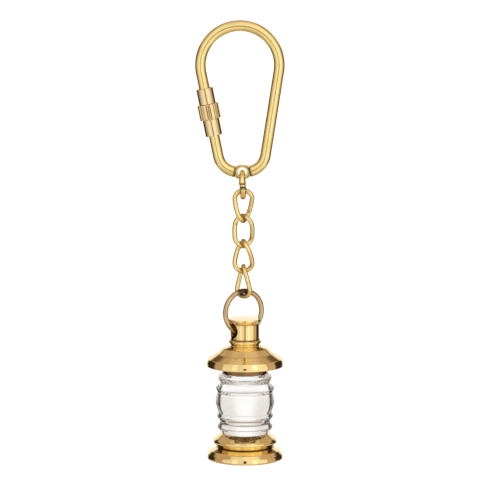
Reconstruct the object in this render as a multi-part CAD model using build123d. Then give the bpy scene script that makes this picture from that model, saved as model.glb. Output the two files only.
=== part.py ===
from build123d import *
import os
from math import asin, atan2, cos, hypot, pi, radians, sin

# A key-ring charm: a pear-shaped screw-lock clip, a short twisted chain, a jump ring and a
# turned miniature ship lantern with a solid clear lens.  All lengths are in millimetres.
# Frame: the origin is the inside top of the clip's arch, where it hangs from a hook.
# +Z is up, X runs across the flat of the clip and -Y is the front.

# ------------------------------------------------------------------ clip
CLIP_WIRE_D = 2.74
ARCH_R = 9.98  # centre-line radius of the large top bend
BELLY_R = 5.095  # centre-line radius of the two bottom corners
BELLY_FLAT = 2.0  # between the centres of those corners
BEND_SPACING = 22.1  # height of the arch's centre above them
CLIP_LEAN = 1.3  # degrees that the clip hangs out of plumb, its foot towards +X

EYE_W = 3.8  # flattened eye at the bottom of the clip
EYE_H = 3.69
EYE_T = 1.5
EYE_ARC_R = 4.2  # bulge of the eye's top and bottom edges
EYE_HOLE_D = 2.4
EYE_HOLE_ROUND = 0.27
EYE_EDGE_ROUND = 0.2
EYE_RISE = 0.005  # eye centre above the wire's lowest centre line
WIRE_INTO_EYE = 0.15

# ------------------------------------------------------------------ screw sleeve on the left leg
SLEEVE_L = 12.2
SLEEVE_DROP = 3.98  # from the end of the arch down to the closed sleeve
SLEEVE_D = 4.33
SEAT_START = 4.2  # collar's seat, measured up from the sleeve's lower end
SEAT_L = 4.0
SEAT_D = 4.1
THREAD_ZONE_L = 6.0
THREAD_BORE_D = 2.86
RELIEF_BORE_D = 3.3
SLEEVE_EDGE = 0.15

COLLAR_D = 5.56
COLLAR_L = 3.9
COLLAR_BORE_D = 4.2
COLLAR_RIBS = 18
RIB_DEPTH = 0.24
COLLAR_EDGE = 0.2

GATE_LOW = 1.5  # the clip wire's two ends, measured up from the closed sleeve's lower end
GATE_HIGH = 4.4
PITCH = 0.5
GROOVE_DEPTH = 0.18
STUB_GROOVES = 12
CATCH_GROOVES = 3

# ------------------------------------------------------------------ chain
GAP = 0.08  # between wires that hang on each other
EYE_GAP = 0.13

JOINER_WIRE_D = 1.6  # round link through the eye
JOINER_R = 3.0
JOINER_OFFSET = 0.3  # sideways step between its two sprung ends
JOINER_OPENING = 11.0  # degrees left open at the front
JOINER_ASIDE = 0.08  # the joiner hangs this far to +X of the eye
CHAIN_ASIDE = 0.2  # and the chain this far to +X of the joiner

LINK_WIRE_D = 1.2
LINK_HALF_W = 2.27  # centre line
LINK_L = 7.775  # between the wire centres of its two bows
LINK_POINTS = 30
LINK_BUTT = 0.04  # length left open between the ends of the wire
LINK_TURNS = {  # direction of each link's top bow, and its twist down to the bottom bow, degrees
    "chain_link_1": (-8, 80),
    "chain_link_2": (-44, 84),
    "chain_link_3": (-80, 98),
    "chain_link_4": (-88, 58),
}

# ------------------------------------------------------------------ lantern
RING_WIRE_D = 1.3
RING_R = 5.35
RING_TURN = 30.5  # direction of the ring's plane and of the neck's cross hole
RING_ABOVE_FOOT = 38.04  # ring centre above the lantern's underside
RING_ASIDE = 0.76  # from the ring's plane to the lantern's axis: the wire lies to one side in its hole

NECK_R = 3.68
HOLE_D = 3.6
HOLE_Z = 33.41
HOLE_EDGE = 0.12

STUD_D = 3.0
STUD_HOLE_D = 3.1
STUD_PITCH = 0.5
STUD_GROOVE = 0.18
STUD_END = 0.3
STUD_BOTTOM = 23.7  # above the lantern's underside
STUD_TOP = 30.7
STUD_SLACK = 0.1

BASE_TOP = 6.7
LENS_BOTTOM = 6.75
LENS_TOP = 22.3
GALLERY_TOP = 25.35
ROOF_BOTTOM = 24.2
ROOF_TOP = 29.55
CAP_BOTTOM = 29.6

# Turned outlines above the lantern's underside: radius, height, corner radius.
BASE_OUTLINE = [
    (0, 0.25, 0),
    (6.6, 0.25, 0),
    (6.85, 0, 0),
    (9.6, 0, 0.25),
    (9.85, 0.45, 0.3),
    (9.74, 1.3, 0.5),
    (8.9, 2.25, 0.9),
    (7.15, 3.15, 0.04),
    (8.1, 4.3, 0.1),
    (8.25, 4.6, 0.05),
    (8.25, 4.95, 0.12),
    (7.85, 5.35, 0.35),
    (6.35, 6.5, 0.4),
    (5.95, BASE_TOP, 0),
    (0, BASE_TOP, 0),
]
LENS_OUTLINE = [
    (0, LENS_BOTTOM, 0),
    (5.93, LENS_BOTTOM, 0.08),
    (7.16, 8.3, 0.35),
    (6.32, 9.88, 0.08),
    (7.32, 11.15, 0.45),
    (6.78, 12.05, 0.08),
    (7.8, 14.85, 4.5),
    (7.06, 17.5, 0.08),
    (7.55, 18.35, 0.3),
    (6.22, 19.88, 0.08),
    (6.88, 20.85, 0.35),
    (6.8, 21.5, 0.2),
    (5.92, LENS_TOP, 0.08),
    (0, LENS_TOP, 0),
]
GALLERY_OUTLINE = [
    (0, LENS_TOP + 0.05, 0),
    (5.78, LENS_TOP + 0.05, 0.1),
    (5.9, 23.2, 1.0),
    (6.1, GALLERY_TOP, 0),
    (0, GALLERY_TOP, 0),
]
ROOF_OUTLINE = [
    (0, 25.4, 0),
    (6.3, 25.4, 0.3),
    (6.6, ROOF_BOTTOM, 0),
    (9.93, ROOF_BOTTOM, 0.15),
    (9.93, 25.1, 0.8),
    (9.6, 26.05, 0.4),
    (7.3, 27.4, 1.1),
    (5.75, 28.8, 0.8),
    (3.85, 29.4, 0.05),
    (3.72, ROOF_TOP, 0),
    (0, ROOF_TOP, 0),
]
CAP_OUTLINE = [
    (0, CAP_BOTTOM, 0),
    (3.72, CAP_BOTTOM, 0),
    (3.73, 29.75, 0.04),
    (4.36, 30.61, 0.3),
    (NECK_R, 31.06, 0.1),
    (NECK_R, 35.19, 0.1),
    (4.2, 36.06, 0.05),
    (4.18, 36.38, 0.08),
    (0, 36.51, 0),
]

# ------------------------------------------------------------------ places worked out from the above
aside = BELLY_FLAT / 2
lean = asin((ARCH_R - BELLY_R) / hypot(aside, BEND_SPACING)) - atan2(aside, BEND_SPACING)
arch_centre = Vector(0, 0, CLIP_WIRE_D / 2 - ARCH_R)
left_corner = arch_centre - Vector(aside, 0, BEND_SPACING)
right_corner = arch_centre - Vector(-aside, 0, BEND_SPACING)
eye_centre = arch_centre - Vector(0, 0, BEND_SPACING + BELLY_R - EYE_RISE)

hung_clip = Rot(0, -CLIP_LEAN, 0)
hung_eye = (hung_clip * Pos(*eye_centre)).position
joiner_x = hung_eye.X + JOINER_ASIDE
chain_x = joiner_x + CHAIN_ASIDE
joiner_top = hung_eye.Z - EYE_HOLE_D / 2 + EYE_GAP + JOINER_WIRE_D / 2
joiner_bottom = joiner_top - 2 * JOINER_R


def hung_wire(upper_centre, upper_d, lower_d):
    """Height of a wire's centre where it hangs over another wire's centre."""
    return upper_centre + upper_d / 2 + GAP + lower_d / 2


link_tops = {}
wire_z, wire_d = joiner_bottom, JOINER_WIRE_D
for link in LINK_TURNS:
    link_tops[link] = hung_wire(wire_z, wire_d, LINK_WIRE_D)
    wire_z, wire_d = link_tops[link] - LINK_L, LINK_WIRE_D
ring_centre = hung_wire(wire_z, wire_d, RING_WIRE_D) - RING_R
lantern = Pos(
    chain_x + RING_ASIDE * sin(radians(RING_TURN)),
    -RING_ASIDE * cos(radians(RING_TURN)),
    ring_centre - RING_ABOVE_FOOT,
)


# ------------------------------------------------------------------ helpers
def bend_point(centre, radius, angle):
    """Point on a bend in the clip's plane; the angle runs from +X towards +Z."""
    return centre + Vector(cos(angle), 0, sin(angle)) * radius


def bend(centre, radius, start, end):
    middle = (start + end) / 2
    return ThreePointArc(*[bend_point(centre, radius, a) for a in (start, middle, end)])


def wire_along(path, diameter):
    return sweep(Plane(origin=path @ 0, z_dir=path % 0) * Circle(diameter / 2), path=path)


def turned(outline):
    """Solid turned about Z from (radius, height, corner radius) points."""
    points = [(r, 0, z) for r, z, _ in outline]
    corners = [c for _, _, c in outline]
    edge = FilletPolyline(*points, radius=corners, close=True)
    return revolve(make_face(edge), axis=Axis.Z)


def grooves(radius, depth, first, pitch, count):
    """Ring-shaped V cuts into a rod about Z, as a stand-in for a thread."""
    half = depth * 0.6
    outer = radius + depth * 0.2
    cut = [(outer, 0, -half * 1.2), (radius - depth, 0, 0), (outer, 0, half * 1.2)]
    one = revolve(make_face(Polyline(*cut, close=True)), axis=Axis.Z)
    return [Pos(0, 0, first + i * pitch) * one for i in range(count)]


def rod(radius, bottom, top):
    return Pos(0, 0, bottom) * Cylinder(radius, top - bottom, align=(Align.CENTER, Align.CENTER, Align.MIN))


# ------------------------------------------------------------------ clip frame
left, right = pi + lean, -lean
up_leg = Vector(-sin(lean), 0, cos(lean))
leg_top = bend_point(arch_centre, ARCH_R, left)
sleeve_foot = leg_top - up_leg * (SLEEVE_DROP + SLEEVE_L)
on_leg = Plane(origin=sleeve_foot, x_dir=(cos(lean), 0, sin(lean)), z_dir=up_leg).location


def clip_frame():
    eye_side = asin((EYE_W / 2 - WIRE_INTO_EYE - aside) / BELLY_R)
    stub = sleeve_foot + up_leg * GATE_HIGH
    catch = sleeve_foot + up_leg * GATE_LOW
    long_path = Wire(
        [
            Edge.make_line(stub, leg_top),
            bend(arch_centre, ARCH_R, left, right).edge(),
            Edge.make_line(
                bend_point(arch_centre, ARCH_R, right), bend_point(right_corner, BELLY_R, right)
            ),
            bend(right_corner, BELLY_R, right, eye_side - pi / 2).edge(),
        ]
    )
    short_path = Wire(
        [
            Edge.make_line(catch, bend_point(left_corner, BELLY_R, left)),
            bend(left_corner, BELLY_R, left, 1.5 * pi - eye_side).edge(),
        ]
    )
    wires = wire_along(long_path, CLIP_WIRE_D) + wire_along(short_path, CLIP_WIRE_D)
    wire_r = CLIP_WIRE_D / 2
    stub_cuts = grooves(wire_r, GROOVE_DEPTH, GATE_HIGH + PITCH, PITCH, STUB_GROOVES)
    catch_cuts = grooves(wire_r, GROOVE_DEPTH, PITCH / 2, PITCH, CATCH_GROOVES)
    for cut in stub_cuts + catch_cuts:
        wires -= on_leg * cut
    return hung_clip * (wires + eye())


def eye():
    """Flat pierced boss pressed in the middle of the clip's bottom bend."""
    shift = EYE_ARC_R - EYE_H / 2
    face = Plane.XZ * (
        Rectangle(EYE_W, 2 * EYE_H)
        & Pos(0, -shift) * Circle(EYE_ARC_R)
        & Pos(0, shift) * Circle(EYE_ARC_R)
    )
    boss = extrude(face, amount=EYE_T / 2, both=True)
    rims = boss.edges().filter_by(Plane.XZ)
    boss = fillet(rims, EYE_EDGE_ROUND)
    boss -= Rot(90, 0, 0) * Cylinder(EYE_HOLE_D / 2, 2 * EYE_T)
    mouths = [e for e in boss.edges().filter_by(GeomType.CIRCLE) if abs(e.radius - EYE_HOLE_D / 2) < 0.01]
    boss = fillet(mouths, EYE_HOLE_ROUND)
    return Pos(*eye_centre) * boss


# ------------------------------------------------------------------ screw sleeve
def sleeve_barrel():
    outer = SLEEVE_D / 2
    seat_end = SEAT_START + SEAT_L
    outline = [
        (outer, 0, SLEEVE_EDGE),
        (outer, SEAT_START, 0),
        (SEAT_D / 2, SEAT_START, 0),
        (SEAT_D / 2, seat_end, 0),
        (outer, seat_end, 0),
        (outer, SLEEVE_L, SLEEVE_EDGE),
        (RELIEF_BORE_D / 2, SLEEVE_L, SLEEVE_EDGE),
        (RELIEF_BORE_D / 2, THREAD_ZONE_L, 0),
        (THREAD_BORE_D / 2, THREAD_ZONE_L, 0),
        (THREAD_BORE_D / 2, 0, SLEEVE_EDGE),
    ]
    return hung_clip * on_leg * turned(outline)


def sleeve_collar():
    """Ring with straight gripping ribs, free to turn on the barrel's seat."""
    tip, root = COLLAR_D / 2, COLLAR_D / 2 - RIB_DEPTH
    step = 2 * pi / COLLAR_RIBS
    points = []
    for i in range(COLLAR_RIBS):
        for radius, part in ((root, 0), (tip, 0.28), (tip, 0.72)):
            points.append((radius * cos((i + part) * step), radius * sin((i + part) * step)))
    ribbed = extrude(make_face(Polyline(*points, close=True)), amount=COLLAR_L)
    outer = [(COLLAR_BORE_D / 2, 0, 0), (tip, 0, COLLAR_EDGE), (tip, COLLAR_L, COLLAR_EDGE)]
    blank = turned(outer + [(COLLAR_BORE_D / 2, COLLAR_L, 0)])
    on_seat = Pos(0, 0, SEAT_START + (SEAT_L - COLLAR_L) / 2)
    return hung_clip * on_leg * on_seat * (ribbed & blank)


# ------------------------------------------------------------------ chain
def joiner_link():
    """Round link whose sprung ends meet at the front, a little out of line."""
    turn = 1 - JOINER_OPENING / 360
    step = JOINER_OFFSET * turn
    path = Helix(pitch=JOINER_OFFSET, height=step, radius=JOINER_R, lefthand=True)
    ring = wire_along(path, JOINER_WIRE_D)
    centred = Rot(0, 0, -JOINER_OPENING / 2) * Pos(0, 0, -step / 2) * ring
    stood_up = Rot(0, -90, 0) * Rot(0, 0, -90) * centred
    return Pos(joiner_x, 0, joiner_top - JOINER_R) * stood_up


def chain_link(name):
    """Twisted oval link; its wire starts and ends half way up one side."""
    top_turn, twist = LINK_TURNS[name]
    side = LINK_L - 2 * LINK_HALF_W
    bow = pi * LINK_HALF_W
    length = 2 * (side + bow)
    points = []
    for i in range(LINK_POINTS + 1):
        s = (i / LINK_POINTS) * (length - LINK_BUTT)
        if s < side / 2:
            across, z = LINK_HALF_W, side / 2 + s
        elif s < side / 2 + bow:
            a = (s - side / 2) / LINK_HALF_W
            across, z = LINK_HALF_W * cos(a), side + LINK_HALF_W * sin(a)
        elif s < 1.5 * side + bow:
            across, z = -LINK_HALF_W, side - (s - side / 2 - bow)
        elif s < 1.5 * side + 2 * bow:
            a = (s - 1.5 * side - bow) / LINK_HALF_W
            across, z = -LINK_HALF_W * cos(a), -LINK_HALF_W * sin(a)
        else:
            across, z = LINK_HALF_W, s - 1.5 * side - 2 * bow
        below_top = side + LINK_HALF_W - z
        turn = radians(top_turn + twist * below_top / LINK_L)
        points.append((across * cos(turn), across * sin(turn), link_tops[name] - below_top))
    return Pos(chain_x, 0, 0) * wire_along(Spline(*points), LINK_WIRE_D)


def lantern_ring():
    torus = Rot(0, 0, RING_TURN) * Rot(90, 0, 0) * Torus(RING_R, RING_WIRE_D / 2)
    return Pos(chain_x, 0, ring_centre) * torus


# ------------------------------------------------------------------ lantern
def cap():
    body = turned(CAP_OUTLINE) - rod(STUD_HOLE_D / 2, CAP_BOTTOM, STUD_TOP + STUD_SLACK)
    cross = Rot(0, 0, RING_TURN) * Rot(0, 90, 0) * Cylinder(HOLE_D / 2, 4 * NECK_R)
    body -= Pos(0, 0, HOLE_Z) * cross
    reach = HOLE_D / 2 + HOLE_EDGE
    mouths = [
        e
        for e in body.edges()
        if e.geom_type not in (GeomType.CIRCLE, GeomType.LINE)
        and abs(e.center().Z - HOLE_Z) < reach
    ]
    body = fillet(mouths, HOLE_EDGE)
    return lantern * body


def roof():
    return lantern * (turned(ROOF_OUTLINE) - rod(STUD_HOLE_D / 2, ROOF_BOTTOM, ROOF_TOP))


def gallery():
    blind_hole = rod(STUD_HOLE_D / 2, STUD_BOTTOM - STUD_SLACK, GALLERY_TOP)
    return lantern * (turned(GALLERY_OUTLINE) - blind_hole)


def lens():
    return lantern * turned(LENS_OUTLINE)


def base():
    return lantern * turned(BASE_OUTLINE)


def stud():
    """Headless screw that holds the cap, roof and gallery together."""
    shank = [(0, STUD_BOTTOM, 0), (STUD_D / 2 - STUD_END, STUD_BOTTOM, 0)]
    shank += [(STUD_D / 2, STUD_BOTTOM + STUD_END, 0), (STUD_D / 2, STUD_TOP - STUD_END, 0)]
    shank += [(STUD_D / 2 - STUD_END, STUD_TOP, 0), (0, STUD_TOP, 0)]
    body = turned(shank)
    count = int((STUD_TOP - STUD_BOTTOM - 2 * STUD_END) / STUD_PITCH)
    first = (STUD_TOP + STUD_BOTTOM) / 2 - STUD_PITCH * (count - 1) / 2
    for cut in grooves(STUD_D / 2, STUD_GROOVE, first, STUD_PITCH, count):
        body -= cut
    return lantern * body


# ------------------------------------------------------------------ write every node
nodes = {
    "clip_frame": clip_frame(),
    "sleeve_barrel": sleeve_barrel(),
    "sleeve_collar": sleeve_collar(),
    "joiner_link": joiner_link(),
    "lantern_ring": lantern_ring(),
    "cap": cap(),
    "stud": stud(),
    "roof": roof(),
    "gallery": gallery(),
    "lens": lens(),
    "base": base(),
}
nodes.update({name: chain_link(name) for name in LINK_TURNS})

os.makedirs("parts", exist_ok=True)
for name, shape in nodes.items():
    export_step(shape, f"parts/{name}.step")
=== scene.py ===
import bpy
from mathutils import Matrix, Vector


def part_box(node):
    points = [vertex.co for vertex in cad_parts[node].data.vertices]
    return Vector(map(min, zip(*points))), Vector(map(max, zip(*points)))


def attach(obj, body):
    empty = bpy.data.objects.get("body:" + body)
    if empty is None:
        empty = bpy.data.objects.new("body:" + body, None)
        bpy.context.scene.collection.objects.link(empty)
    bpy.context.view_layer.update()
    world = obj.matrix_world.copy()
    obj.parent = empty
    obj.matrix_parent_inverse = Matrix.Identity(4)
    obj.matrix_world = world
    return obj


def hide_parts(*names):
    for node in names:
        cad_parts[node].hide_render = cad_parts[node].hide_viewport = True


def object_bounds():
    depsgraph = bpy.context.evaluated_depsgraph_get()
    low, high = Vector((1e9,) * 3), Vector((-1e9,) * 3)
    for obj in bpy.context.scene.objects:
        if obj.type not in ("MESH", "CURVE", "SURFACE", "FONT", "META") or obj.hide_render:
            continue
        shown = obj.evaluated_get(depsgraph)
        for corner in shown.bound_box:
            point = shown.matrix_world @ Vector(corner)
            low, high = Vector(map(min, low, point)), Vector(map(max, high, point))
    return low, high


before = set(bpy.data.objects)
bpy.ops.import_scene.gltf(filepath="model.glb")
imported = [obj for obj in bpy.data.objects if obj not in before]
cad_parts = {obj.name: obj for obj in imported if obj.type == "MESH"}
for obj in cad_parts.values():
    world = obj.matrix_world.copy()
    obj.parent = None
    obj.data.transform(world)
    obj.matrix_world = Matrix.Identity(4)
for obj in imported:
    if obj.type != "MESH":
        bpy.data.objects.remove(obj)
cad_box = [list(corner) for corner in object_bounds()]

from math import asin, atan2, ceil, cos, hypot, pi, radians, sin, tan

import bpy
import numpy as np
from mathutils import Matrix, Vector

# A brass key-ring charm: a pear-shaped screw-lock clip, a twisted chain, a jump ring and a turned
# miniature ship lantern with a clear lens.  Shapes are worked out in millimetres in the CAD frame
# and become metres when a mesh is made.  -Y is the front.
MM = 0.001


def box_mm(node):
    low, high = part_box(node)
    return Vector(low) / MM, Vector(high) / MM


def middle_mm(node):
    low, high = box_mm(node)
    return (low + high) / 2


AXIS = middle_mm("base")  # the turned lantern's own axis
FOOT = box_mm("base")[0].z
CHAIN = middle_mm("lantern_ring")  # the line the chain hangs along


# ------------------------------------------------------------------ mesh helpers
QUARTER = [radians(v) for v in (0, 22.5, 45, 67.5, 90)]  # steps round a rounded edge


def full_circle(count):
    return 2 * pi * np.arange(count) / count


def smoothed(part):
    """0 to 1 with a level start and end."""
    return part * part * (3 - 2 * part)


def along_first(points):
    """Points in metres with their length (Z) first, as the grain of a wire has it."""
    return np.array(points)[:, [2, 0, 1]] * MM


def add_object(name, data):
    made = bpy.data.objects.new(name, data)
    bpy.context.scene.collection.objects.link(made)
    return made


def make_piece(name, points, faces, fields, sharp=32):
    """Mesh object in metres with its per-point fields; edges sharper than the angle stay crisp."""
    mesh = bpy.data.meshes.new(name)
    mesh.from_pydata((np.asarray(points) * MM).tolist(), [], faces)
    mesh.validate()
    for field, values in fields.items():
        values = np.asarray(values, np.float32)
        kind, key = ("FLOAT", "value") if values.ndim == 1 else ("FLOAT_VECTOR", "vector")
        mesh.attributes.new(field, kind, "POINT").data.foreach_set(key, values.ravel())
    mesh.shade_smooth()
    mesh.set_sharp_from_angle(angle=radians(sharp))
    return add_object(name, mesh)


def finish_piece(piece, body, nodes, material):
    """Puts a piece on its body, in place of the CAD nodes it shows, with its material."""
    piece.data.materials.clear()
    piece.data.materials.append(material)
    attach(piece, body)
    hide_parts(*nodes)


def join_meshes(piece, other):
    """Both shells in one object, with their fields."""
    with bpy.context.temp_override(active_object=piece, selected_editable_objects=[piece, other]):
        bpy.ops.object.join()
    return piece


def cut_away(piece, cutter):
    """Piece with the cutter taken out of it; the cutter is used up."""
    modifier = piece.modifiers.new("cut", "BOOLEAN")
    modifier.operation, modifier.object, modifier.solver = "DIFFERENCE", cutter, "EXACT"
    bpy.context.view_layer.update()
    seen = piece.evaluated_get(bpy.context.evaluated_depsgraph_get())
    merged = bpy.data.meshes.new_from_object(seen)
    piece.modifiers.clear()
    old, piece.data = piece.data, merged
    merged.name = piece.name
    bpy.data.meshes.remove(old)
    spent = cutter.data
    bpy.data.objects.remove(cutter)
    bpy.data.meshes.remove(spent)
    return piece


def grid_faces(rows, columns, wrap_rows=False):
    """Quads of a grid whose columns always wrap round."""
    faces = []
    for i in range(rows if wrap_rows else rows - 1):
        below, above = i * columns, ((i + 1) % rows) * columns
        for j in range(columns):
            k = (j + 1) % columns
            faces.append((below + j, below + k, above + k, above + j))
    return faces


def end_faces(rows, columns):
    """The two flat faces that close a tube made of grid_faces."""
    last = (rows - 1) * columns
    return [tuple(range(columns - 1, -1, -1)), tuple(range(last, last + columns))]


# ------------------------------------------------------------------ turned pieces
ARC_STEP = radians(9)
FLAT_STEP = 0.22
TURN_SEGMENTS = 192
ON_AXIS = 1e-6  # a radius below this is a tip


def rounded(outline, closed):
    """(radius, height) points of an outline with its corners rounded and its flats divided."""
    corners = [(Vector((r, z)), c) for r, z, c in outline]
    count, path = len(corners), []
    for i, (corner, radius) in enumerate(corners):
        inner = closed or 0 < i < count - 1
        if not inner or radius == 0:
            path.append(corner)
            continue
        back = (corners[i - 1][0] - corner).normalized()
        ahead = (corners[(i + 1) % count][0] - corner).normalized()
        half = back.angle(ahead) / 2
        centre = corner + (back + ahead).normalized() * (radius / sin(half))
        first = corner + back * (radius / tan(half)) - centre
        last = corner + ahead * (radius / tan(half)) - centre
        sweep = atan2(first.x * last.y - first.y * last.x, first.dot(last))
        steps = max(3, ceil(abs(sweep) / ARC_STEP))
        for j in range(steps + 1):
            turn = sweep * j / steps
            path.append(centre + Matrix.Rotation(turn, 2) @ first)
    if closed:
        path.append(path[0])
    divided = [path[0]]
    for a, b in zip(path, path[1:]):
        steps = max(1, ceil((b - a).length / FLAT_STEP))
        divided += [a.lerp(b, j / steps) for j in range(1, steps + 1)]
    return divided[:-1] if closed else divided


def rub_and_shade_along(path, closed):
    """+1 on outside corners, which rub bright, and -1 in inside corners, where shade is painted in
    dark.
    """
    reach, full_turn = 0.16, radians(55)
    p = np.array([tuple(v) for v in path])
    lengths = np.linalg.norm(np.diff(p, axis=0, append=p[:1]), axis=1)
    s = np.concatenate([[0], np.cumsum(lengths)[:-1]])
    step = np.roll(p, -1, axis=0) - p
    heading = np.arctan2(step[:, 1], step[:, 0])
    turn = (heading - np.roll(heading, 1) + pi) % (2 * pi) - pi
    turn[p[:, 0] < ON_AXIS] = 0
    if not closed:
        turn[0] = turn[-1] = 0
    apart = np.abs(s[:, None] - s[None, :])
    if closed:
        apart = np.minimum(apart, lengths.sum() - apart)
    blur = np.exp(-((apart / reach) ** 2) / 2)
    return np.clip(blur @ turn / full_turn, -1, 1)


def turned(name, outline, closed=False, shaded_below=0):
    """Solid of revolution about Z standing on the lantern's foot, painted dark as shade below a
    height.
    """
    path = rounded(outline, closed)
    rub_and_shade = rub_and_shade_along(path, closed)
    # below that height, for the roof's underside, the surface is painted dark as shade
    rub_and_shade[[v.y < shaded_below for v in path]] = -1
    points, faces, field, ring_starts = [], [], [], []
    angles = [2 * pi * j / TURN_SEGMENTS for j in range(TURN_SEGMENTS)]
    for v, wear_and_shade in zip(path, rub_and_shade):
        tip = v.x < ON_AXIS
        ring_starts.append((len(points), tip))
        ring = [(AXIS.x, AXIS.y, FOOT + v.y)] if tip else [
            (AXIS.x + v.x * cos(a), AXIS.y + v.x * sin(a), FOOT + v.y) for a in angles
        ]
        points += ring
        field += [wear_and_shade] * len(ring)
    pairs = list(zip(ring_starts, ring_starts[1:]))
    if closed:
        pairs.append((ring_starts[-1], ring_starts[0]))
    for (low, low_tip), (high, high_tip) in pairs:
        for j in range(TURN_SEGMENTS):
            k = (j + 1) % TURN_SEGMENTS
            if low_tip:
                faces.append((low, high + k, high + j))
            elif high_tip:
                faces.append((low + j, low + k, high))
            else:
                faces.append((low + j, low + k, high + k, high + j))
    return make_piece(name, points, faces, {"wear_and_shade": field})


# ------------------------------------------------------------------ wire pieces
END_TAPER = 0.7  # how much radius an open end loses over each length of its rounding


def straight(a, b, step):
    count = max(1, ceil((b - a).length / step))
    return [a.lerp(b, i / count) for i in range(count + 1)]


def flat_bend(centre, radius, start, end, step):
    """Points of an arc in the XZ plane; the angle runs from +X towards +Z."""
    count = max(2, ceil(abs(end - start) * radius / step))
    turns = [start + (end - start) * i / count for i in range(count + 1)]
    return [centre + Vector((cos(t), 0, sin(t))) * radius for t in turns]


def joined(*runs):
    path = list(runs[0])
    for run in runs[1:]:
        path += run[1:]
    return path


def wire(name, path, radius, around, closed=False, thread=None, wear_and_shade=None, end_round=0.1):
    """Round wire along a path.  It carries its own straightened position, so that drawing marks
    run along it.  thread is a function of length and angle that gives the depth cut away."""
    p = np.array([tuple(v) for v in path])
    if closed:
        ahead, behind = np.roll(p, -1, axis=0), np.roll(p, 1, axis=0)
        tangent = ahead - behind
    else:
        tangent = np.gradient(p, axis=0)
    tangent /= np.linalg.norm(tangent, axis=1)[:, None]
    side = np.cross(tangent[0], (0, 1, 0) if abs(tangent[0][1]) < 0.9 else (1, 0, 0))
    side /= np.linalg.norm(side)
    sides = [side]
    for t in tangent[1:]:
        side = sides[-1] - t * sides[-1].dot(t)
        sides.append(side / np.linalg.norm(side))
    sides = np.array(sides)
    if closed:
        # the frame comes back turned by a little; that turn is shared out along the wire
        other = np.cross(tangent[0], sides[0])
        back = sides[-1] - tangent[0] * sides[-1].dot(tangent[0])
        slip = atan2(back.dot(other), back.dot(sides[0]))
    else:
        slip = 0
    others = np.cross(tangent, sides)
    count = len(p)
    s = np.concatenate([[0], np.cumsum(np.linalg.norm(np.diff(p, axis=0), axis=1))])
    angles = full_circle(around)
    turn = angles[None, :] - slip * (np.arange(count) / count)[:, None]
    r = np.full((count, around), float(radius))
    if thread:
        r -= thread(s[:, None], angles[None, :])
    if not closed:
        from_end = np.minimum(s, s[-1] - s)[:, None]
        r -= np.clip(end_round - from_end, 0, None) * END_TAPER
    ring = np.cos(turn)[..., None] * sides[:, None] + np.sin(turn)[..., None] * others[:, None]
    points = (p[:, None] + ring * r[..., None]).reshape(-1, 3)
    unrolled = np.stack(
        [np.broadcast_to(s[:, None], r.shape), r * np.cos(angles), r * np.sin(angles)], axis=-1
    ).reshape(-1, 3)
    faces = grid_faces(count, around, closed)
    if not closed:
        faces += end_faces(count, around)
    dirt_and_shade = np.zeros(count) if wear_and_shade is None else wear_and_shade(s, p)
    fields = {"grain": unrolled * MM, "wear_and_shade": np.repeat(dirt_and_shade, around)}
    return make_piece(name, points, faces, fields, sharp=40)


def painted_shade_at(distance, strength, reach, power=2):
    """Painted shade round a place, fading out over a distance of about its reach."""
    return -strength * np.exp(-((distance / reach) ** power))


def screw_cut(first, last, pitch, depth):
    """Depth of a V thread between two places along a wire, running out over one turn."""
    flank = 3.2  # depths per pitch: the V is 2 / 3.2 of the pitch wide

    def cut(s, a):
        phase = (s / pitch + a / (2 * pi)) % 1
        vee = np.clip(1 - np.abs(phase - 0.5) * flank, 0, 1)
        fade = np.clip((s - first) / pitch, 0, 1) * np.clip((last - s) / pitch, 0, 1)
        return depth * vee * fade

    return cut


# ------------------------------------------------------------------ materials
# Places are in metres, so noise scales are counts per metre.
def node(tree, kind, **settings):
    made = tree.nodes.new("ShaderNode" + kind)
    for key, value in settings.items():
        setattr(made, key, value)
    return made


def noise(tree, vector, scale, detail=4, rough=0.55, distortion=0.0):
    made = node(tree, "TexNoise")
    tree.links.new(vector, made.inputs["Vector"])
    made.inputs["Scale"].default_value = scale
    made.inputs["Detail"].default_value = detail
    made.inputs["Roughness"].default_value = rough
    made.inputs["Distortion"].default_value = distortion
    return made.outputs["Fac"]


def ramp(tree, value, *stops):
    """Value remapped through (position, level) stops."""
    made = node(tree, "ValToRGB")
    tree.links.new(value, made.inputs["Fac"])
    elements = made.color_ramp.elements
    while len(elements) < len(stops):
        elements.new(0.5)
    for element, (place, level) in zip(elements, stops):
        element.position, element.color = place, (level, level, level, 1)
    return made.outputs["Color"]


def math_node(tree, operation, a, b=None, clamp=False):
    made = node(tree, "Math", operation=operation, use_clamp=clamp)
    for socket, value in zip(made.inputs, (a, b)):
        if value is None:
            continue
        if isinstance(value, (int, float)):
            socket.default_value = value
        else:
            tree.links.new(value, socket)
    return made.outputs[0]


def blend_colour(tree, factor, a, b):
    made = node(tree, "Mix", data_type="RGBA")
    tree.links.new(factor, made.inputs["Factor"])
    for socket, value in ((made.inputs[6], a), (made.inputs[7], b)):
        if isinstance(value, tuple):
            socket.default_value = (*value, 1)
        else:
            tree.links.new(value, socket)
    return made.outputs[2]


def scaled(tree, vector, factors):
    made = node(tree, "VectorMath", operation="MULTIPLY")
    tree.links.new(vector, made.inputs[0])
    made.inputs[1].default_value = factors
    return made.outputs[0]


def new_material(name):
    material = bpy.data.materials.new(name)
    material.use_nodes = True
    tree = material.node_tree
    tree.nodes.clear()
    shader = node(tree, "BsdfPrincipled")
    output = node(tree, "OutputMaterial")
    tree.links.new(shader.outputs["BSDF"], output.inputs["Surface"])
    return material, tree, shader


def bump(tree, height, distance, below=None):
    made = node(tree, "Bump")
    made.inputs["Strength"].default_value = 1.0
    made.inputs["Distance"].default_value = distance
    tree.links.new(height, made.inputs["Height"])
    if below:
        tree.links.new(below, made.inputs["Normal"])
    return made.outputs["Normal"]


def field(tree, name, output="Fac"):
    return node(tree, "Attribute", attribute_name=name).outputs[output]


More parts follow.
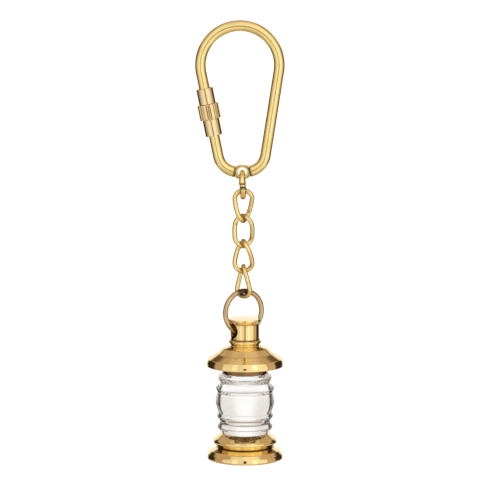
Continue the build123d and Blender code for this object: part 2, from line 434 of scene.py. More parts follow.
def turning_coordinates(tree, place):
    """(radius, height, 0): the same all the way round, as marks left by a lathe are."""
    from_axis = node(tree, "VectorMath", operation="SUBTRACT")
    tree.links.new(place, from_axis.inputs[0])
    from_axis.inputs[1].default_value = (AXIS.x * MM, AXIS.y * MM, 0)
    split = node(tree, "SeparateXYZ")
    tree.links.new(from_axis.outputs[0], split.inputs[0])
    squares = [math_node(tree, "POWER", split.outputs[i], 2) for i in (0, 1)]
    radius = math_node(tree, "SQRT", math_node(tree, "ADD", *squares))
    joined_up = node(tree, "CombineXYZ")
    tree.links.new(radius, joined_up.inputs[0])
    tree.links.new(split.outputs[2], joined_up.inputs[1])
    return joined_up.outputs[0]


def brass(name, colour, deep, dirt_and_shade, rough, rough_span, lines, line_depth, marks):
    """Brass with tarnish clouds, painted shade in its inside corners and other shaded places (in a
    dark colour that also tints dirt specks), rubbed edges, fine tool lines, scratches and slight
    waves.  lines is "wire" for marks along a wire or "lathe" for marks round a turning;
    line_depth is their depth in millimetres and marks the strength of specks and scratches."""
    material, tree, shader = new_material(name)
    place = node(tree, "TexCoord").outputs["Object"]
    if lines == "wire":
        grain = scaled(tree, field(tree, "grain", "Vector"), (0.05, 1, 1))
    else:
        grain = turning_coordinates(tree, place)
    wear_and_shade = field(tree, "wear_and_shade")

    clouds = ramp(tree, noise(tree, place, 260, 5, 0.6, 0.4), (0.38, 0), (0.72, 1))
    specks = ramp(tree, noise(tree, place, 2400, 3, 0.6), (0.66, 0), (0.8, 1))
    streaks = noise(tree, grain, 5200, 3, 0.6)
    fine = noise(tree, grain, 16000, 2, 0.5)
    scratch_place = scaled(tree, place, (1, 0.35, 2.2))
    midway = math_node(tree, "SUBTRACT", noise(tree, scratch_place, 900, 2, 0.4, 1.2), 0.5)
    scratches = ramp(tree, math_node(tree, "ABSOLUTE", midway), (0.0, 1), (0.012, 0))

    # painted shade: where the wear_and_shade field is below zero the colour goes towards the dark
    # colour
    corner = math_node(tree, "MULTIPLY", wear_and_shade, -1, clamp=True)
    rubbed = math_node(tree, "MAXIMUM", wear_and_shade, 0)
    uneven = math_node(tree, "ADD", noise(tree, place, 1500, 4), 0.45)
    painted_shade = math_node(tree, "MULTIPLY", corner, uneven, clamp=True)

    surface = blend_colour(tree, clouds, colour, deep)
    surface = blend_colour(tree, math_node(tree, "MULTIPLY", specks, marks), surface, dirt_and_shade)
    surface = blend_colour(tree, painted_shade, surface, dirt_and_shade)
    tree.links.new(surface, shader.inputs["Base Color"])
    shader.inputs["Metallic"].default_value = 1.0

    level = math_node(tree, "ADD", math_node(tree, "MULTIPLY", streaks, rough_span), rough)
    for source, share in (
        (clouds, rough_span * 0.6),
        (painted_shade, 0.22),
        (rubbed, rough * -0.3),
        (scratches, marks * 0.15),
    ):
        change = math_node(tree, "MULTIPLY", source, share)
        level = math_node(tree, "ADD", level, change, clamp=source is scratches)
    tree.links.new(level, shader.inputs["Roughness"])

    height = math_node(tree, "ADD", streaks, math_node(tree, "MULTIPLY", fine, 0.4))
    height = math_node(tree, "SUBTRACT", height, math_node(tree, "MULTIPLY", scratches, marks))
    waves = bump(tree, noise(tree, place, 330, 2, 0.4), line_depth * 6 * MM)
    tree.links.new(bump(tree, height, line_depth * MM, waves), shader.inputs["Normal"])
    return material


ACRYLIC_IOR, POLISH_DEPTH = 1.49, 0.0003


def acrylic(name):
    """Clear turned plastic: faint tool rings in its polish, a faint uneven tint and patches of
    smear.
    """
    material, tree, shader = new_material(name)
    place = node(tree, "TexCoord").outputs["Object"]
    rings = turning_coordinates(tree, place)
    tone = ramp(tree, noise(tree, place, 180, 3), (0.35, 0), (0.75, 1))
    tint = blend_colour(tree, tone, (0.965, 0.96, 0.95), (0.93, 0.92, 0.90))
    tree.links.new(tint, shader.inputs["Base Color"])
    shader.inputs["Transmission Weight"].default_value = 1.0
    shader.inputs["IOR"].default_value = ACRYLIC_IOR
    smear = ramp(tree, noise(tree, place, 420, 4, 0.6, 0.5), (0.45, 0.0), (0.8, 0.02))
    tree.links.new(smear, shader.inputs["Roughness"])
    turning = noise(tree, rings, 2600, 3, 0.6)
    tree.links.new(bump(tree, turning, POLISH_DEPTH * MM), shader.inputs["Normal"])
    return material


# name, colour, tarnished colour, colour of dirt specks and painted shade, roughness, its spread,
# lines, their depth, marks
SATIN = brass("satin_brass", (0.93, 0.75, 0.34), (0.87, 0.67, 0.26), (0.15, 0.09, 0.035),
              0.13, 0.07, "wire", 0.0024, 0.3)
KNURLED = brass("turned_satin_brass", (0.88, 0.69, 0.40), (0.80, 0.60, 0.32), (0.22, 0.13, 0.06),
                0.10, 0.06, "wire", 0.0022, 0.25)
POLISHED = brass("polished_brass", (0.95, 0.74, 0.36), (0.92, 0.69, 0.29), (0.07, 0.035, 0.014),
                 0.06, 0.04, "lathe", 0.0006, 0.2)
# a darkened copy of the polished brass: painted shade for the gallery under the roof's overhang
SHADED_BRASS = brass("shaded_brass", (0.30, 0.175, 0.08), (0.21, 0.115, 0.048), (0.05, 0.025, 0.012),
                0.14, 0.08, "lathe", 0.0010, 0.4)
AGED = brass("aged_brass", (0.66, 0.50, 0.27), (0.46, 0.32, 0.15), (0.10, 0.05, 0.033),
             0.15, 0.10, "wire", 0.006, 0.6)
PLAIN = brass("plain_brass", (0.88, 0.66, 0.28), (0.76, 0.52, 0.20), (0.16, 0.09, 0.03),
              0.16, 0.10, "lathe", 0.002, 0.4)
CLEAR = acrylic("clear_acrylic")

# ------------------------------------------------------------------ clip
CLIP_R = 1.37
CLIP_LEAN = radians(1.3)
ARCH_R, BELLY_R, BEND_SPACING, CORNER_ASIDE = 9.98, 5.095, 22.1, 1.0
EYE_W, EYE_H, EYE_T, EYE_ARC_R = 3.8, 3.69, 1.5, 4.2
EYE_HOLE_R, EYE_HOLE_ROUND, EYE_EDGE_ROUND = 1.2, 0.27, 0.2
EYE_RISE = 0.005
WIRE_INTO_EYE = 0.15
SLEEVE_L, SLEEVE_DROP = 12.2, 3.98
GATE_LOW, GATE_HIGH = 1.5, 4.4
THREAD_PITCH, THREAD_DEPTH = 0.5, 0.17
STUB_THREAD, CATCH_THREAD = 6.2, 1.3
WIRE_STEP, THREAD_STEP = 0.3, 0.05
CLIP_AROUND, EYE_AROUND = 44, 144
THREAD_STARTS = (0.3, 0.2)  # from each side of the gate
EYE_SHADE = (1.8, 0.3)  # strength and reach of painted shade, as for every such pair below

# lean of each leg in the clip's own plane, and the whole clip's lean out of plumb
between_bends = hypot(CORNER_ASIDE, BEND_SPACING)
lean = asin((ARCH_R - BELLY_R) / between_bends) - atan2(CORNER_ASIDE, BEND_SPACING)
hang = Matrix(
    ((cos(CLIP_LEAN), 0, -sin(CLIP_LEAN)), (0, 1, 0), (sin(CLIP_LEAN), 0, cos(CLIP_LEAN)))
)
arch_centre = Vector((0, 0, (box_mm("clip_frame")[1].z - CLIP_R - ARCH_R) / cos(CLIP_LEAN)))
left_corner = arch_centre - Vector((CORNER_ASIDE, 0, BEND_SPACING))
right_corner = arch_centre - Vector((-CORNER_ASIDE, 0, BEND_SPACING))
eye_centre = arch_centre - Vector((0, 0, BEND_SPACING + BELLY_R - EYE_RISE))
left, right = pi + lean, -lean
out_left, out_right = Vector((cos(left), 0, sin(left))), Vector((cos(right), 0, sin(right)))
up_leg = Vector((-sin(lean), 0, cos(lean)))
leg_top = arch_centre + out_left * ARCH_R
sleeve_foot = leg_top - up_leg * (SLEEVE_DROP + SLEEVE_L)
on_leg = Matrix(((cos(lean), 0, up_leg.x), (0, 1, 0), (sin(lean), 0, up_leg.z)))


def hung(points):
    """Points of the clip, leaned out of plumb about its hanging point."""
    return np.array([tuple(v) for v in points]) @ np.array(hang).T


def clip_shade(s, p):
    """Painted shade beside the eye, on the steps where the round wire meets the flat."""
    aside = np.abs(p[:, 0] - hung([eye_centre])[0, 0])
    low = p[:, 2] < eye_centre.z + EYE_H
    return low * painted_shade_at(aside - EYE_W / 2, *EYE_SHADE)


def clip_frame():
    stub = sleeve_foot + up_leg * GATE_HIGH
    catch = sleeve_foot + up_leg * GATE_LOW
    eye_side = asin((EYE_W / 2 - WIRE_INTO_EYE - CORNER_ASIDE) / BELLY_R)
    thread_end = stub + up_leg * STUB_THREAD
    long_path = joined(
        straight(stub, thread_end, THREAD_STEP),
        straight(thread_end, leg_top, WIRE_STEP),
        flat_bend(arch_centre, ARCH_R, left, right, WIRE_STEP),
        straight(
            arch_centre + out_right * ARCH_R, right_corner + out_right * BELLY_R, WIRE_STEP
        ),
        flat_bend(right_corner, BELLY_R, right, eye_side - pi / 2, WIRE_STEP),
    )
    catch_end = catch - up_leg * CATCH_THREAD
    short_path = joined(
        straight(catch, catch_end, THREAD_STEP),
        straight(catch_end, left_corner + out_left * BELLY_R, WIRE_STEP),
        flat_bend(left_corner, BELLY_R, left, 1.5 * pi - eye_side, WIRE_STEP),
    )
    piece = wire("clip_wire", hung(long_path), CLIP_R, CLIP_AROUND, wear_and_shade=clip_shade,
                 thread=screw_cut(THREAD_STARTS[0], STUB_THREAD, THREAD_PITCH, THREAD_DEPTH))
    other = wire("clip_short_arm", hung(short_path), CLIP_R, CLIP_AROUND, wear_and_shade=clip_shade,
                 thread=screw_cut(THREAD_STARTS[1], CATCH_THREAD, THREAD_PITCH, THREAD_DEPTH))
    piece = join_meshes(piece, other)
    return join_meshes(piece, eye_boss())


def eye_boss():
    """Flat pierced boss: its outline is a square with bulged top and bottom."""
    around = EYE_AROUND
    shift = EYE_ARC_R - EYE_H / 2
    angles = full_circle(around)
    reach = []
    for a in angles:
        c, s = cos(a), abs(sin(a))
        to_side = EYE_W / 2 / abs(c) if abs(c) > 1e-9 else 1e9
        # distance along this direction to the arc of radius EYE_ARC_R centred shift below
        to_arc = -s * shift + (EYE_ARC_R**2 - (c * shift) ** 2) ** 0.5
        reach.append(min(to_side, to_arc))
    reach = np.array(reach)
    # its corners are eased over five neighbouring directions
    soft = np.array([reach[np.arange(i - 2, i + 3) % around].mean() for i in range(around)])
    half, mouth, edge = EYE_T / 2, EYE_HOLE_ROUND, EYE_EDGE_ROUND
    # (share of the outline, fixed radius, y, rub_and_shade) round the section, hole wall first
    section = [(0, EYE_HOLE_R, y, 0) for y in (0.3, 0.0, -0.3)]
    section += [
        (0, EYE_HOLE_R + mouth * (1 - cos(a)), -half + mouth * (1 - sin(a)), 0.4) for a in QUARTER
    ]
    section += [(share, 0, -half, 0) for share in (0.35, 0.7)]
    section += [(1, -edge * (1 - sin(a)), -half + edge * (1 - cos(a)), 0.9) for a in QUARTER]
    section += [(1, 0, 0, 0)]
    section += [(share, r, -y, rub_and_shade) for share, r, y, rub_and_shade in reversed(section[2:-1])]
    points, wear_and_shade = [], []
    inner = EYE_HOLE_R + mouth
    for share, fixed, y, rub_and_shade in section:
        if share == 0:
            rho = np.full(around, fixed)
        elif share == 1:
            rho = soft + fixed
        else:
            rho = inner + (soft - edge - inner) * share
        points += [
            (eye_centre.x + r * cos(a), y, eye_centre.z + r * sin(a)) for r, a in zip(rho, angles)
        ]
        wear_and_shade += [rub_and_shade] * around
    faces = [f[::-1] for f in grid_faces(len(section), around, True)]
    fields = {"grain": along_first(points), "wear_and_shade": wear_and_shade}
    return make_piece("clip_eye", hung(points), faces, fields, sharp=40)


# ------------------------------------------------------------------ screw sleeve
SLEEVE_R, SEAT_R = 2.165, 2.05
SEAT_START, SEAT_L = 4.2, 4.0
THREAD_ZONE_L, THREAD_BORE_R, RELIEF_BORE_R = 6.0, 1.43, 1.65
SLEEVE_EDGE, SLEEVE_AROUND = 0.15, 72
COLLAR_R, COLLAR_ROOT_R, COLLAR_BORE_R = 2.78, 2.54, 2.1
COLLAR_L, COLLAR_RIBS, COLLAR_EDGE = 3.9, 18, 0.2
RIB_GAP, RIB_FLANK = 0.03, 0.17  # shares of the rib spacing


def place_on_leg(points):
    """Points given about the sleeve's own axis, from its foot, put on the left leg."""
    return hung(np.asarray(points) @ np.array(on_leg).T + np.array(tuple(sleeve_foot)))


def sleeve_barrel():
    seat_end = SEAT_START + SEAT_L
    outline = [
        (SLEEVE_R, 0, SLEEVE_EDGE),
        (SLEEVE_R, SEAT_START, 0.05),
        (SEAT_R, SEAT_START, 0.03),
        (SEAT_R, seat_end, 0.03),
        (SLEEVE_R, seat_end, 0.05),
        (SLEEVE_R, SLEEVE_L, SLEEVE_EDGE),
        (RELIEF_BORE_R, SLEEVE_L, SLEEVE_EDGE),
        (RELIEF_BORE_R, THREAD_ZONE_L, 0),
        (THREAD_BORE_R, THREAD_ZONE_L, 0),
        (THREAD_BORE_R, 0, SLEEVE_EDGE),
    ]
    path = rounded(outline, True)
    rub_and_shade = rub_and_shade_along(path, True)
    angles = full_circle(SLEEVE_AROUND)
    points = [(v.x * cos(a), v.x * sin(a), v.y) for v in path for a in angles]
    faces = grid_faces(len(path), SLEEVE_AROUND, True)
    # inside corners are painted dark as shade; rubbed edges only lose roughness
    wear_and_shade = np.repeat(np.minimum(rub_and_shade, 0.6), SLEEVE_AROUND)
    fields = {"grain": along_first(points), "wear_and_shade": wear_and_shade}
    return make_piece("sleeve_tube", place_on_leg(points), faces, fields)


def sleeve_collar():
    """Ring with straight gripping ribs."""
    per_rib = 16
    around = COLLAR_RIBS * per_rib
    part = (np.arange(around) % per_rib) / per_rib
    up = np.clip((part - RIB_GAP) / RIB_FLANK, 0, 1)
    rib = smoothed(up * np.clip((1 - RIB_GAP - part) / RIB_FLANK, 0, 1))
    angles = full_circle(around)
    outer = COLLAR_ROOT_R + (COLLAR_R - COLLAR_ROOT_R) * rib
    bevel, land = 0.06, 0.2
    # (radius, height, False), or (depth under the ribs, height, True), up the outside first
    rows = [(COLLAR_BORE_R + bevel, 0.0, False), (COLLAR_BORE_R + land, 0.0, False)]
    rows += [(COLLAR_EDGE * (1 - sin(a)), COLLAR_EDGE * (1 - cos(a)), True) for a in QUARTER]
    middle = [(0, z, True) for z in np.linspace(COLLAR_EDGE, COLLAR_L - COLLAR_EDGE, 9)[1:-1]]
    top = [(r, COLLAR_L - z, on_ribs) for r, z, on_ribs in reversed(rows)]
    rows += middle + top
    rows += [(COLLAR_BORE_R, z, False) for z in np.linspace(COLLAR_L - bevel, bevel, 7)]
    points, wear_and_shade = [], []
    for value, z, on_ribs in rows:
        if on_ribs:
            radius = np.maximum(outer - value, COLLAR_BORE_R + land + 0.04)
            wear_and_shade += list(rib * 1.5 - 0.9)  # painted shade between the ribs, rubbed bright (less rough) on them
        else:
            radius = np.full(around, value)
            wear_and_shade += [0] * around
        points += [(r * cos(a), r * sin(a), z) for r, a in zip(radius, angles)]
    fields = {"grain": along_first(points), "wear_and_shade": wear_and_shade}
    start = SEAT_START + (SEAT_L - COLLAR_L) / 2
    points = place_on_leg(np.array(points) + (0, 0, start))
    faces = grid_faces(len(rows), around, True)
    return make_piece("sleeve_grip", points, faces, fields, sharp=50)


# ------------------------------------------------------------------ chain
JOINER_WIRE_R, JOINER_R, JOINER_OFFSET, JOINER_OPENING = 0.8, 3.0, 0.3, radians(11)
LINK_WIRE_R, LINK_HALF_W, LINK_L, LINK_BUTT = 0.6, 2.27, 7.775, 0.04
# where each link's top bow faces and how much the link twists on its way down, in degrees
LINK_TURNS = {
    "chain_link_1": (-8, 80),
    "chain_link_2": (-44, 84),
    "chain_link_3": (-80, 98),
    "chain_link_4": (-88, 58),
}
RING_WIRE_R, RING_R, RING_TURN = 0.65, 5.35, radians(30.5)
JOINER_STEPS, LINK_STEPS, RING_STEPS = 96, 150, 160
JOINER_AROUND, LINK_AROUND, RING_AROUND = 36, 28, 32
JOINER_END_ROUND, LINK_END_ROUND = 0.14, 0.05
JOINER_BOW_SHADE, JOINER_END_SHADE = (0.7, 0.6), (2.2, 0.28)
LINK_BOW_SHADE = (0.8, 0.8)
RING_TOP_SHADE, RING_HOLE_SHADE = (1.5, 1.9, 4), (0.8, 1.4)


def to_bows(p, low, high):
    """Distance from a link's top or bottom, where it rubs on its neighbours."""
    return np.minimum(np.abs(p[:, 2] - high.z), np.abs(p[:, 2] - low.z))


def joiner():
    """Round link whose ends meet at the front, one a little to the side of the other."""
    low, high = box_mm("joiner_link")
    centre = (low + high) / 2
    sweep = 2 * pi - JOINER_OPENING
    path = []
    for i in range(JOINER_STEPS + 1):
        part = i / JOINER_STEPS
        a = pi + JOINER_OPENING / 2 + sweep * part  # from just under the front, round the back
        side = JOINER_OFFSET * sweep / (2 * pi) * (0.5 - part)
        path.append(centre + Vector((side, cos(a) * JOINER_R, sin(a) * JOINER_R)))

    # painted shade where the joiner meets the links and at the gap between its ends
    def dirt_and_shade(s, p):
        ends = np.minimum(s, s[-1] - s)
        bows = to_bows(p, low, high)
        return painted_shade_at(bows, *JOINER_BOW_SHADE) + painted_shade_at(ends, *JOINER_END_SHADE)

    return wire("joiner", path, JOINER_WIRE_R, JOINER_AROUND, wear_and_shade=dirt_and_shade,
                end_round=JOINER_END_ROUND)


def link_path(name):
    """Wire's middle line of a twisted link: two sides and two bows, from halfway up one side."""
    top_turn, twist = LINK_TURNS[name]
    top_z = box_mm(name)[1].z - LINK_WIRE_R
    side = LINK_L - 2 * LINK_HALF_W
    bow = pi * LINK_HALF_W
    length = 2 * (side + bow)
    path = []
    for i in range(LINK_STEPS + 1):
        s = (i / LINK_STEPS) * (length - LINK_BUTT)
        if s < side / 2:
            across, z = LINK_HALF_W, side / 2 + s
        elif s < side / 2 + bow:
            a = (s - side / 2) / LINK_HALF_W
            across, z = LINK_HALF_W * cos(a), side + LINK_HALF_W * sin(a)
        elif s < 1.5 * side + bow:
            across, z = -LINK_HALF_W, side - (s - side / 2 - bow)
        elif s < 1.5 * side + 2 * bow:
            a = (s - 1.5 * side - bow) / LINK_HALF_W
            across, z = -LINK_HALF_W * cos(a), -LINK_HALF_W * sin(a)
        else:
            across, z = LINK_HALF_W, s - 1.5 * side - 2 * bow
        below_top = side + LINK_HALF_W - z
        turn = radians(top_turn + twist * below_top / LINK_L)
        x, y = across * cos(turn), across * sin(turn)
        path.append(Vector((CHAIN.x + x, y, top_z - below_top)))
    return path


def chain_link(name):
    low, high = box_mm(name)

    # painted shade at the bows, where the link meets its neighbours
    def dirt_and_shade(s, p):
        return painted_shade_at(to_bows(p, low, high), *LINK_BOW_SHADE)

    return wire(name + "_wire", link_path(name), LINK_WIRE_R, LINK_AROUND, wear_and_shade=dirt_and_shade,
                end_round=LINK_END_ROUND)


def jump_ring():
    """Brazed ring; its joint is at the top, inside the last link."""
    foot_z = box_mm("lantern_ring")[0].z
    path = []
    for i in range(RING_STEPS):
        a = pi / 2 + 2 * pi * i / RING_STEPS
        across = cos(a) * RING_R
        x, y = across * cos(RING_TURN), across * sin(RING_TURN)
        path.append(CHAIN + Vector((x, y, sin(a) * RING_R)))

    # painted shade round the top, where the last link hangs in it, and where it sits in the cap's
    # hole
    def dirt_and_shade(s, p):
        joint = np.minimum(s, s[-1] - s)
        in_hole = np.abs(p[:, 2] - foot_z)
        return painted_shade_at(joint, *RING_TOP_SHADE) + painted_shade_at(in_hole, *RING_HOLE_SHADE)

    return wire("jump_ring", path, RING_WIRE_R, RING_AROUND, closed=True, wear_and_shade=dirt_and_shade)


# ------------------------------------------------------------------ lantern
# An outline is a list of (radius, height above the foot, rounding of that corner).
STUD_BORE_R = 1.55
STUD_R, STUD_PITCH, STUD_DEPTH, STUD_END = 1.5, 0.5, 0.17, 0.3
STUD_BOTTOM, STUD_TOP, STUD_SLACK, STUD_AROUND = 23.7, 30.7, 0.1, 48
NECK_R, HOLE_R, HOLE_Z = 3.68, 1.8, 33.41
HOLE_EDGE, HOLE_FLARE, HOLE_AROUND, HOLE_SHADE = 0.12, 0.75, 96, 1.8
ROOF_BOTTOM = 24.2

BASE_OUTLINE = [
    (0, 0.25, 0),
    (6.6, 0.25, 0.1),
    (6.85, 0, 0.06),
    (9.6, 0, 0.25),
    (9.85, 0.45, 0.3),
    (9.74, 1.3, 0.5),
    (8.9, 2.25, 0.9),
    (7.15, 3.15, 0.04),
    (8.1, 4.3, 0.1),
    (8.25, 4.6, 0.05),
    (8.25, 4.95, 0.12),
    (7.85, 5.35, 0.35),
    (6.35, 6.5, 0.4),
    (5.95, 6.7, 0.05),
    (0, 6.7, 0),
]
LENS_OUTLINE = [
    (0, 6.75, 0),
    (5.93, 6.75, 0.08),
    (7.16, 8.3, 0.35),
    (6.32, 9.88, 0.08),
    (7.32, 11.15, 0.45),
    (6.78, 12.05, 0.08),
    (7.8, 14.85, 4.5),
    (7.06, 17.5, 0.08),
    (7.55, 18.35, 0.3),
    (6.22, 19.88, 0.08),
    (6.88, 20.85, 0.35),
    (6.8, 21.5, 0.2),
    (5.92, 22.3, 0.08),
    (0, 22.3, 0),
]
GALLERY_OUTLINE = [
    (0, 22.35, 0),
    (5.78, 22.35, 0.1),
    (5.9, 23.2, 1.0),
    (6.1, 25.35, 0.04),
    (STUD_BORE_R, 25.35, 0),
    (STUD_BORE_R, STUD_BOTTOM - STUD_SLACK, 0),
    (0, STUD_BOTTOM - STUD_SLACK, 0),
]
ROOF_OUTLINE = [
    (STUD_BORE_R, 25.4, 0),
    (6.3, 25.4, 0.3),
    (6.6, ROOF_BOTTOM, 0.05),
    (9.93, ROOF_BOTTOM, 0.15),
    (9.93, 25.1, 0.8),
    (9.6, 26.05, 0.4),
    (7.3, 27.4, 1.1),
    (5.75, 28.8, 0.8),
    (3.85, 29.4, 0.05),
    (3.72, 29.55, 0.03),
    (STUD_BORE_R, 29.55, 0),
]
CAP_OUTLINE = [
    (0, STUD_TOP + STUD_SLACK, 0),
    (STUD_BORE_R, STUD_TOP + STUD_SLACK, 0),
    (STUD_BORE_R, 29.6, 0),
    (3.72, 29.6, 0.03),
    (3.73, 29.75, 0.04),
    (4.36, 30.61, 0.3),
    (NECK_R, 31.06, 0.1),
    (NECK_R, 35.19, 0.1),
    (4.2, 36.06, 0.05),
    (4.18, 36.38, 0.08),
    (0, 36.51, 0),
]


def cap():
    """Turned neck with a cross hole whose mouths are eased."""
    body = turned("cap_body", CAP_OUTLINE)
    around = HOLE_AROUND
    wall = (NECK_R**2 - HOLE_R**2) ** 0.5
    rows = [(-2 * NECK_R, HOLE_R + HOLE_FLARE), (-wall + HOLE_EDGE, HOLE_R)]
    rows += [(x, HOLE_R) for x in np.linspace(-wall + 0.4, wall - 0.4, 13)]
    rows += [(wall - HOLE_EDGE, HOLE_R), (2 * NECK_R, HOLE_R + HOLE_FLARE)]
    points = [
        (
            AXIS.x + x * cos(RING_TURN) - r * cos(a) * sin(RING_TURN),
            AXIS.y + x * sin(RING_TURN) + r * cos(a) * cos(RING_TURN),
            FOOT + HOLE_Z + r * sin(a),
        )
        for x, r in rows
        for a in full_circle(around)
    ]
    faces = grid_faces(len(rows), around) + end_faces(len(rows), around)
    # the hole walls take the cutter's field: painted shade inside the cross hole
    cutter = make_piece("cross_hole", points, faces, {"wear_and_shade": np.full(len(points), -HOLE_SHADE)})
    body = cut_away(body, cutter)
    body.data.shade_smooth()
    body.data.set_sharp_from_angle(angle=radians(25))
    return body


def stud():
    """Headless screw with a real helix on it."""
    on_axis = Vector((AXIS.x, AXIS.y, FOOT))
    foot, top = on_axis + Vector((0, 0, STUD_BOTTOM)), on_axis + Vector((0, 0, STUD_TOP))
    cut = screw_cut(STUD_END, STUD_TOP - STUD_BOTTOM - STUD_END, STUD_PITCH, STUD_DEPTH)
    path = straight(foot, top, THREAD_STEP)
    return wire("stud_screw", path, STUD_R, STUD_AROUND, thread=cut, end_round=STUD_END)


finish_piece(clip_frame(), "clip", ["clip_frame"], SATIN)
finish_piece(sleeve_barrel(), "sleeve", ["sleeve_barrel"], KNURLED)
finish_piece(sleeve_collar(), "grip", ["sleeve_collar"], KNURLED)
finish_piece(joiner(), "joiner", ["joiner_link"], SATIN)
for number, link in enumerate(LINK_TURNS, 1):
    finish_piece(chain_link(link), f"link_{number}", [link], SATIN)
finish_piece(jump_ring(), "ring", ["lantern_ring"], AGED)
finish_piece(cap(), "lantern", ["cap"], POLISHED)
roof = turned("roof_body", ROOF_OUTLINE, closed=True, shaded_below=ROOF_BOTTOM + 0.01)
finish_piece(roof, "lantern", ["roof"], POLISHED)
gallery = turned("gallery_band", GALLERY_OUTLINE)
finish_piece(gallery, "lantern", ["gallery"], SHADED_BRASS)
finish_piece(turned("lens_body", LENS_OUTLINE), "lantern", ["lens"], CLEAR)
finish_piece(turned("base_body", BASE_OUTLINE), "lantern", ["base"], POLISHED)
finish_piece(stud(), "lantern", ["stud"], PLAIN)

# ------------------------------------------------------------------ studio
STUDIO_CENTRE = Vector((0, 0, (cad_box[0][2] + cad_box[1][2]) / 2))
DOME_R = 0.55
DOME_STEP = 1.5
FLOOR_DROP = 0.75
FLOOR_SIZE = 60
FLOOR_GREY, FLOOR_GLOW = 0.5, 0.56
BACKGROUND = 1.06

WHITE = (BACKGROUND,) * 3
SOFTBOX = (1.04, 1.0, 0.94)
STRIP = (1.5, 1.45, 1.36)
TAN = (0.60, 0.47, 0.36)
OVERHEAD = (0.76, 0.62, 0.50)
BACK_HIGH = (0.54, 0.42, 0.31)
LOW = (0.80, 0.70, 0.58)
DARK = (0.036, 0.023, 0.013)
BROWN = (0.15, 0.095, 0.052)
# the left front of the studio is dimmer, easing in and out between these azimuths
LEFT_SHARE, LEFT_IN, LEFT_OUT = 0.84, (250, 262), (350, 358)

# Light seen in the metal's reflections and through the lens.  Each layer covers the ones before:
# azimuth from and to, elevation from and to, softness of its edges, colour.  Azimuth 0 is in front
# of the object and 180 behind it; LEFT_SHARE then dims the left front.  All angles are in degrees.
METAL_LIGHT = [
    (-9, 190, 26, 99, 4, OVERHEAD),
    (100, 190, 30, 60, 8, BACK_HIGH),
    (-9, 190, -99, -36, 6, LOW),
    (66, 190, -99, -40, 6, TAN),
    (-9, 70, -40, 74, 5, SOFTBOX),
    (24, 38, -14, 54, 4, STRIP),
    (70, 106, -34, 56, 2, TAN),
    (102, 147, -34, 27, 6, DARK),
    (147, 190, 20, 44, 4, BROWN),
    (147, 190, -46, -20, 3, BROWN),
    (-9, 4.5, -14, 9, 1.2, DARK),
]
LENS_LIGHT = [
    (-9, 133, -99, 99, 2, (0.44, 0.40, 0.36)),
    (-9, 50, -40, 60, 8, (0.80, 0.76, 0.71)),
    (124, 167, -19, 16, 9, (0.86, 0.835, 0.805)),
    (122, 135, -32, 32, 1.5, (0.09, 0.065, 0.048)),
    (133, 190, 16, 28, 2, (0.52, 0.42, 0.35)),
    (-9, 190, 34, 70, 4, (0.52, 0.48, 0.43)),
    (-9, 190, -25, -19, 2, (0.42, 0.37, 0.32)),
]


def eased(value, start, end):
    return smoothed(np.clip((value - start) / (end - start), 0, 1))


def covered(value, start, end, soft):
    """1 between two angles and 0 outside them, with edges soft to either side."""
    return eased(value, start - soft, start + soft) * (1 - eased(value, end - soft, end + soft))


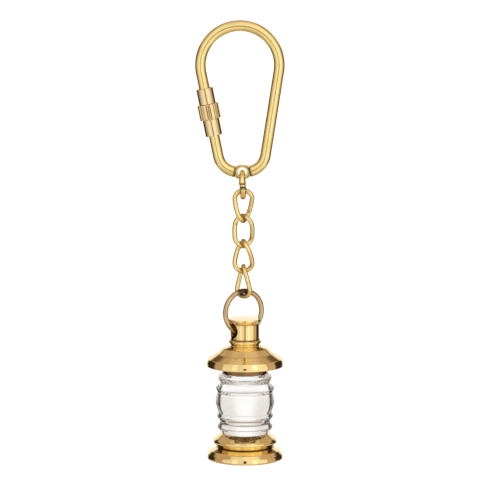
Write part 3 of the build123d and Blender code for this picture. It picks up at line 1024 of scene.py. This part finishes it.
def dome(name, layers, through_lens):
    """Glowing shell round the object, shown only in its reflections or only through its lens."""
    az = np.arange(0, 360, DOME_STEP)
    el = np.linspace(-90, 90, int(180 / DOME_STEP) + 1)
    wide, tall = (grid.ravel() for grid in np.meshgrid(az, el))
    aside = np.minimum(wide, 360 - wide)
    light = np.tile(WHITE, (aside.size, 1))
    for az_from, az_to, el_from, el_to, soft, colour in layers:
        cover = covered(aside, az_from, az_to, soft) * covered(tall, el_from, el_to, soft)
        light += (np.array(colour) - light) * cover[:, None]
    left_front = eased(wide, *LEFT_IN) * (1 - eased(wide, *LEFT_OUT))
    light *= 1 - (1 - LEFT_SHARE) * left_front[:, None]
    a, e = np.radians(wide), np.radians(tall)
    spread = np.stack([np.sin(a) * np.cos(e), -np.cos(a) * np.cos(e), np.sin(e)], axis=-1)
    points = np.array(tuple(STUDIO_CENTRE)) + spread * DOME_R
    mesh = bpy.data.meshes.new(name)
    mesh.from_pydata(points.tolist(), [], grid_faces(len(el), len(az)))
    mesh.attributes.new("light", "FLOAT_VECTOR", "POINT").data.foreach_set(
        "vector", light.astype(np.float32).ravel()
    )
    shell = add_object(name, mesh)
    material = bpy.data.materials.new(name)
    material.use_nodes = True
    tree = material.node_tree
    tree.nodes.clear()
    emission = node(tree, "Emission")
    tree.links.new(field(tree, "light", "Vector"), emission.inputs["Color"])
    tree.links.new(emission.outputs[0], node(tree, "OutputMaterial").inputs["Surface"])
    material.cycles.emission_sampling = "NONE"
    mesh.materials.append(material)
    shell.visible_camera = shell.visible_diffuse = shell.visible_shadow = False
    shell.visible_glossy, shell.visible_transmission = not through_lens, through_lens


dome("metal_light", METAL_LIGHT, False)
dome("lens_light", LENS_LIGHT, True)

floor_mesh = bpy.data.meshes.new("floor")
floor_z = STUDIO_CENTRE.z - FLOOR_DROP
edge = FLOOR_SIZE / 2
floor_mesh.from_pydata(
    [(x * edge, y * edge, floor_z) for x, y in ((-1, -1), (1, -1), (1, 1), (-1, 1))],
    [], [(0, 1, 2, 3)],
)
floor = add_object("floor", floor_mesh)
floor_material, floor_tree, floor_shader = new_material("pale_floor")
floor_shader.inputs["Base Color"].default_value = (FLOOR_GREY, FLOOR_GREY, FLOOR_GREY, 1)
floor_shader.inputs["Roughness"].default_value = 1.0
floor_shader.inputs["Specular IOR Level"].default_value = 0.0
floor_shader.inputs["Emission Color"].default_value = (1, 1, 1, 1)
floor_shader.inputs["Emission Strength"].default_value = FLOOR_GLOW
floor_mesh.materials.append(floor_material)

world = bpy.data.worlds.new("studio")
bpy.context.scene.world = world
world.use_nodes = True
backdrop = world.node_tree.nodes["Background"]
backdrop.inputs["Color"].default_value = (1, 1, 1, 1)
backdrop.inputs["Strength"].default_value = BACKGROUND

# ------------------------------------------------------------------ camera
CAMERA_LENS = 199.4
CAMERA_PLACE = Vector((0.00276, -0.700, 0.04624))
CAMERA_PITCH = 8.3

camera_data = bpy.data.cameras.new("camera")
camera_data.lens = CAMERA_LENS
camera_data.sensor_width = 36
camera_data.clip_start, camera_data.clip_end = 0.01, 200
camera = add_object("camera", camera_data)
camera.location = CAMERA_PLACE
camera.rotation_euler = (radians(90 - CAMERA_PITCH), 0, 0)
bpy.context.scene.camera = camera
bpy.context.scene.view_settings.view_transform = "Standard"
